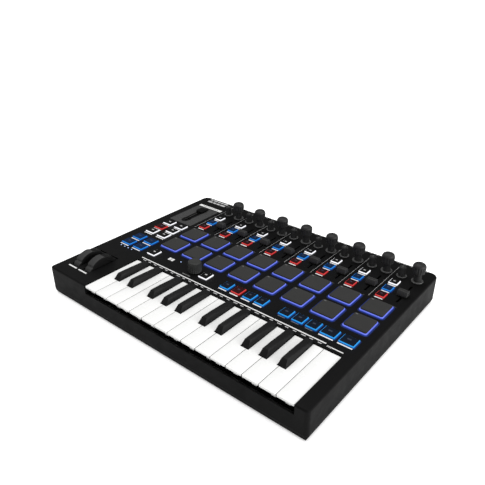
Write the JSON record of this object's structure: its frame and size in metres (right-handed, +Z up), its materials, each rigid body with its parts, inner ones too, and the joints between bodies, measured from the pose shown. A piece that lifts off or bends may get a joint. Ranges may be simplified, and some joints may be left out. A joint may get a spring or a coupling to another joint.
{
  "type": "midi keyboard",
  "caption": "Desktop music controller with small piano keys, square pads, rotary knobs, faders, lit buttons and two side wheels in a low black case.",
  "frame": {"origin": "centre of the case's footprint, on the desk under the feet", "axes": "+X along the keys towards the treble end, +Y from the player to the back, +Z up"},
  "size_m": [0.351, 0.2636, 0.0577],
  "materials": {
    "black_keys": "satin black moulding",
    "case": "fine moulded texture",
    "channel_buttons": "dark cap over a light",
    "circuit_boards": "green solder mask",
    "contact_strip": "silicone rubber",
    "control_pots": "pressed cans",
    "deck_buttons": "dark cap over a light",
    "encoder": "satin dark grey",
    "fader_caps": "satin grey",
    "fader_plate": "fine ribbed texture",
    "feet": "soft rubber",
    "frame": "plain moulding",
    "knobs": "soft-touch black",
    "pads": "matt silicone",
    "screws": "black oxide",
    "steel": "ground rod",
    "wheels": "fine matt rubber",
    "white_keys": "polished white moulding"
  },
  "bodies": {
    "base": {"top_cover": "case", "bottom_cover": "case", "key_frame": "frame", "key_shaft": "steel", "contact_strip": "contact_strip", "circuit_boards": "circuit_boards", "control_pots": "control_pots", "wheel_bracket": "frame", "fader_plate": "fader_plate", "screws": "screws", "feet": "feet"},
    "white_key_1": {"white_key_1": "white_keys"},
    "white_key_2": {"white_key_2": "white_keys"},
    "white_key_3": {"white_key_3": "white_keys"},
    "white_key_4": {"white_key_4": "white_keys"},
    "white_key_5": {"white_key_5": "white_keys"},
    "white_key_6": {"white_key_6": "white_keys"},
    "white_key_7": {"white_key_7": "white_keys"},
    "white_key_8": {"white_key_8": "white_keys"},
    "white_key_9": {"white_key_9": "white_keys"},
    "white_key_10": {"white_key_10": "white_keys"},
    "white_key_11": {"white_key_11": "white_keys"},
    "white_key_12": {"white_key_12": "white_keys"},
    "white_key_13": {"white_key_13": "white_keys"},
    "white_key_14": {"white_key_14": "white_keys"},
    "white_key_15": {"white_key_15": "white_keys"},
    "black_key_1": {"black_key_1": "black_keys"},
    "black_key_2": {"black_key_2": "black_keys"},
    "black_key_3": {"black_key_3": "black_keys"},
    "black_key_4": {"black_key_4": "black_keys"},
    "black_key_5": {"black_key_5": "black_keys"},
    "black_key_6": {"black_key_6": "black_keys"},
    "black_key_7": {"black_key_7": "black_keys"},
    "black_key_8": {"black_key_8": "black_keys"},
    "black_key_9": {"black_key_9": "black_keys"},
    "black_key_10": {"black_key_10": "black_keys"},
    "tall_knob_1": {"tall_knob_1": "knobs"},
    "tall_knob_2": {"tall_knob_2": "knobs"},
    "tall_knob_3": {"tall_knob_3": "knobs"},
    "tall_knob_4": {"tall_knob_4": "knobs"},
    "tall_knob_5": {"tall_knob_5": "knobs"},
    "tall_knob_6": {"tall_knob_6": "knobs"},
    "tall_knob_7": {"tall_knob_7": "knobs"},
    "tall_knob_8": {"tall_knob_8": "knobs"},
    "small_knob_1": {"small_knob_1": "knobs"},
    "small_knob_2": {"small_knob_2": "knobs"},
    "small_knob_3": {"small_knob_3": "knobs"},
    "small_knob_4": {"small_knob_4": "knobs"},
    "small_knob_5": {"small_knob_5": "knobs"},
    "small_knob_6": {"small_knob_6": "knobs"},
    "small_knob_7": {"small_knob_7": "knobs"},
    "small_knob_8": {"small_knob_8": "knobs"},
    "encoder_knob": {"encoder_knob": "encoder"},
    "pitch_wheel": {"pitch_wheel": "wheels"},
    "mod_wheel": {"mod_wheel": "wheels"},
    "channel_faders": {"channel_faders": "fader_caps"},
    "plate_fader": {"plate_fader": "fader_caps"},
    "pads": {"pads": "pads"},
    "channel_buttons": {"channel_buttons": "channel_buttons"},
    "deck_buttons": {"deck_buttons": "deck_buttons"}
  },
  "joints": [
    {"name": "white_key_1_hinge", "type": "hinge", "parent": "base", "child": "white_key_1", "pos_m": [-0.10453, -0.04045, 0.02], "axis": [1, 0, 0], "range_deg": [0, 3.5]},
    {"name": "white_key_2_hinge", "type": "hinge", "parent": "base", "child": "white_key_2", "pos_m": [-0.08328, -0.04045, 0.02], "axis": [1, 0, 0], "range_deg": [0, 3.5]},
    {"name": "white_key_3_hinge", "type": "hinge", "parent": "base", "child": "white_key_3", "pos_m": [-0.06217, -0.04045, 0.02], "axis": [1, 0, 0], "range_deg": [0, 3.5]},
    {"name": "white_key_4_hinge", "type": "hinge", "parent": "base", "child": "white_key_4", "pos_m": [-0.05063, -0.04045, 0.02], "axis": [1, 0, 0], "range_deg": [0, 3.5]},
    {"name": "white_key_5_hinge", "type": "hinge", "parent": "base", "child": "white_key_5", "pos_m": [-0.03018, -0.04045, 0.02], "axis": [1, 0, 0], "range_deg": [0, 3.5]},
    {"name": "white_key_6_hinge", "type": "hinge", "parent": "base", "child": "white_key_6", "pos_m": [-0.00968, -0.04045, 0.02], "axis": [1, 0, 0], "range_deg": [0, 3.5]},
    {"name": "white_key_7_hinge", "type": "hinge", "parent": "base", "child": "white_key_7", "pos_m": [0.01077, -0.04045, 0.02], "axis": [1, 0, 0], "range_deg": [0, 3.5]},
    {"name": "white_key_8_hinge", "type": "hinge", "parent": "base", "child": "white_key_8", "pos_m": [0.02252, -0.04045, 0.02], "axis": [1, 0, 0], "range_deg": [0, 3.5]},
    {"name": "white_key_9_hinge", "type": "hinge", "parent": "base", "child": "white_key_9", "pos_m": [0.04377, -0.04045, 0.02], "axis": [1, 0, 0], "range_deg": [0, 3.5]},
    {"name": "white_key_10_hinge", "type": "hinge", "parent": "base", "child": "white_key_10", "pos_m": [0.06488, -0.04045, 0.02], "axis": [1, 0, 0], "range_deg": [0, 3.5]},
    {"name": "white_key_11_hinge", "type": "hinge", "parent": "base", "child": "white_key_11", "pos_m": [0.07642, -0.04045, 0.02], "axis": [1, 0, 0], "range_deg": [0, 3.5]},
    {"name": "white_key_12_hinge", "type": "hinge", "parent": "base", "child": "white_key_12", "pos_m": [0.09687, -0.04045, 0.02], "axis": [1, 0, 0], "range_deg": [0, 3.5]},
    {"name": "white_key_13_hinge", "type": "hinge", "parent": "base", "child": "white_key_13", "pos_m": [0.11737, -0.04045, 0.02], "axis": [1, 0, 0], "range_deg": [0, 3.5]},
    {"name": "white_key_14_hinge", "type": "hinge", "parent": "base", "child": "white_key_14", "pos_m": [0.13782, -0.04045, 0.02], "axis": [1, 0, 0], "range_deg": [0, 3.5]},
    {"name": "white_key_15_hinge", "type": "hinge", "parent": "base", "child": "white_key_15", "pos_m": [0.15252, -0.04045, 0.02], "axis": [1, 0, 0], "range_deg": [0, 3.5]},
    {"name": "black_key_1_hinge", "type": "hinge", "parent": "base", "child": "black_key_1", "pos_m": [-0.0938, -0.04045, 0.02], "axis": [1, 0, 0], "range_deg": [0, 3.5]},
    {"name": "black_key_2_hinge", "type": "hinge", "parent": "base", "child": "black_key_2", "pos_m": [-0.07275, -0.04045, 0.02], "axis": [1, 0, 0], "range_deg": [0, 3.5]},
    {"name": "black_key_3_hinge", "type": "hinge", "parent": "base", "child": "black_key_3", "pos_m": [-0.04045, -0.04045, 0.02], "axis": [1, 0, 0], "range_deg": [0, 3.5]},
    {"name": "black_key_4_hinge", "type": "hinge", "parent": "base", "child": "black_key_4", "pos_m": [-0.0199, -0.04045, 0.02], "axis": [1, 0, 0], "range_deg": [0, 3.5]},
    {"name": "black_key_5_hinge", "type": "hinge", "parent": "base", "child": "black_key_5", "pos_m": [0.00055, -0.04045, 0.02], "axis": [1, 0, 0], "range_deg": [0, 3.5]},
    {"name": "black_key_6_hinge", "type": "hinge", "parent": "base", "child": "black_key_6", "pos_m": [0.03325, -0.04045, 0.02], "axis": [1, 0, 0], "range_deg": [0, 3.5]},
    {"name": "black_key_7_hinge", "type": "hinge", "parent": "base", "child": "black_key_7", "pos_m": [0.0543, -0.04045, 0.02], "axis": [1, 0, 0], "range_deg": [0, 3.5]},
    {"name": "black_key_8_hinge", "type": "hinge", "parent": "base", "child": "black_key_8", "pos_m": [0.0866, -0.04045, 0.02], "axis": [1, 0, 0], "range_deg": [0, 3.5]},
    {"name": "black_key_9_hinge", "type": "hinge", "parent": "base", "child": "black_key_9", "pos_m": [0.10715, -0.04045, 0.02], "axis": [1, 0, 0], "range_deg": [0, 3.5]},
    {"name": "black_key_10_hinge", "type": "hinge", "parent": "base", "child": "black_key_10", "pos_m": [0.1276, -0.04045, 0.02], "axis": [1, 0, 0], "range_deg": [0, 3.5]},
    {"name": "tall_knob_1_turn", "type": "hinge", "parent": "base", "child": "tall_knob_1", "pos_m": [-0.09, 0.10255, 0.04], "axis": [0, 0, 1], "range_deg": [-150, 150]},
    {"name": "tall_knob_2_turn", "type": "hinge", "parent": "base", "child": "tall_knob_2", "pos_m": [-0.054, 0.10255, 0.04], "axis": [0, 0, 1], "range_deg": [-150, 150]},
    {"name": "tall_knob_3_turn", "type": "hinge", "parent": "base", "child": "tall_knob_3", "pos_m": [-0.018, 0.10255, 0.04], "axis": [0, 0, 1], "range_deg": [-150, 150]},
    {"name": "tall_knob_4_turn", "type": "hinge", "parent": "base", "child": "tall_knob_4", "pos_m": [0.018, 0.10255, 0.04], "axis": [0, 0, 1], "range_deg": [-150, 150]},
    {"name": "tall_knob_5_turn", "type": "hinge", "parent": "base", "child": "tall_knob_5", "pos_m": [0.054, 0.10255, 0.04], "axis": [0, 0, 1], "range_deg": [-150, 150]},
    {"name": "tall_knob_6_turn", "type": "hinge", "parent": "base", "child": "tall_knob_6", "pos_m": [0.09, 0.10255, 0.04], "axis": [0, 0, 1], "range_deg": [-150, 150]},
    {"name": "tall_knob_7_turn", "type": "hinge", "parent": "base", "child": "tall_knob_7", "pos_m": [0.126, 0.10255, 0.04], "axis": [0, 0, 1], "range_deg": [-150, 150]},
    {"name": "tall_knob_8_turn", "type": "hinge", "parent": "base", "child": "tall_knob_8", "pos_m": [0.162, 0.10255, 0.04], "axis": [0, 0, 1], "range_deg": [-150, 150]},
    {"name": "small_knob_1_turn", "type": "hinge", "parent": "base", "child": "small_knob_1", "pos_m": [-0.108, 0.10255, 0.04], "axis": [0, 0, 1], "range_deg": [-150, 150]},
    {"name": "small_knob_2_turn", "type": "hinge", "parent": "base", "child": "small_knob_2", "pos_m": [-0.072, 0.10255, 0.04], "axis": [0, 0, 1], "range_deg": [-150, 150]},
    {"name": "small_knob_3_turn", "type": "hinge", "parent": "base", "child": "small_knob_3", "pos_m": [-0.036, 0.10255, 0.04], "axis": [0, 0, 1], "range_deg": [-150, 150]},
    {"name": "small_knob_4_turn", "type": "hinge", "parent": "base", "child": "small_knob_4", "pos_m": [0, 0.10255, 0.04], "axis": [0, 0, 1], "range_deg": [-150, 150]},
    {"name": "small_knob_5_turn", "type": "hinge", "parent": "base", "child": "small_knob_5", "pos_m": [0.036, 0.10255, 0.04], "axis": [0, 0, 1], "range_deg": [-150, 150]},
    {"name": "small_knob_6_turn", "type": "hinge", "parent": "base", "child": "small_knob_6", "pos_m": [0.072, 0.10255, 0.04], "axis": [0, 0, 1], "range_deg": [-150, 150]},
    {"name": "small_knob_7_turn", "type": "hinge", "parent": "base", "child": "small_knob_7", "pos_m": [0.108, 0.10255, 0.04], "axis": [0, 0, 1], "range_deg": [-150, 150]},
    {"name": "small_knob_8_turn", "type": "hinge", "parent": "base", "child": "small_knob_8", "pos_m": [0.144, 0.10255, 0.04], "axis": [0, 0, 1], "range_deg": [-150, 150]},
    {"name": "encoder_turn", "type": "hinge", "parent": "base", "child": "encoder_knob", "pos_m": [-0.04, -0.03445, 0.04], "axis": [0, 0, 1], "continuous": true},
    {"name": "pitch_wheel_turn", "type": "hinge", "parent": "base", "child": "pitch_wheel", "pos_m": [-0.1557, -0.09145, 0.0225], "axis": [1, 0, 0], "range_deg": [-30, 30]},
    {"name": "mod_wheel_turn", "type": "hinge", "parent": "base", "child": "mod_wheel", "pos_m": [-0.1348, -0.09145, 0.0225], "axis": [1, 0, 0], "range_deg": [-30, 30]},
    {"name": "channel_faders_slide", "type": "slide", "parent": "base", "child": "channel_faders", "axis": [0, 1, 0], "range_m": [-0.012, 0.02]},
    {"name": "plate_fader_slide", "type": "slide", "parent": "base", "child": "plate_fader", "axis": [0, 1, 0], "range_m": [-0.0315, 0.006]},
    {"name": "pads_press", "type": "slide", "parent": "base", "child": "pads", "axis": [0, 0, -1], "range_m": [0, 0.001]},
    {"name": "channel_buttons_press", "type": "slide", "parent": "base", "child": "channel_buttons", "axis": [0, 0, -1], "range_m": [0, 0.001]},
    {"name": "deck_buttons_press", "type": "slide", "parent": "base", "child": "deck_buttons", "axis": [0, 0, -1], "range_m": [0, 0.001]}
  ]
}
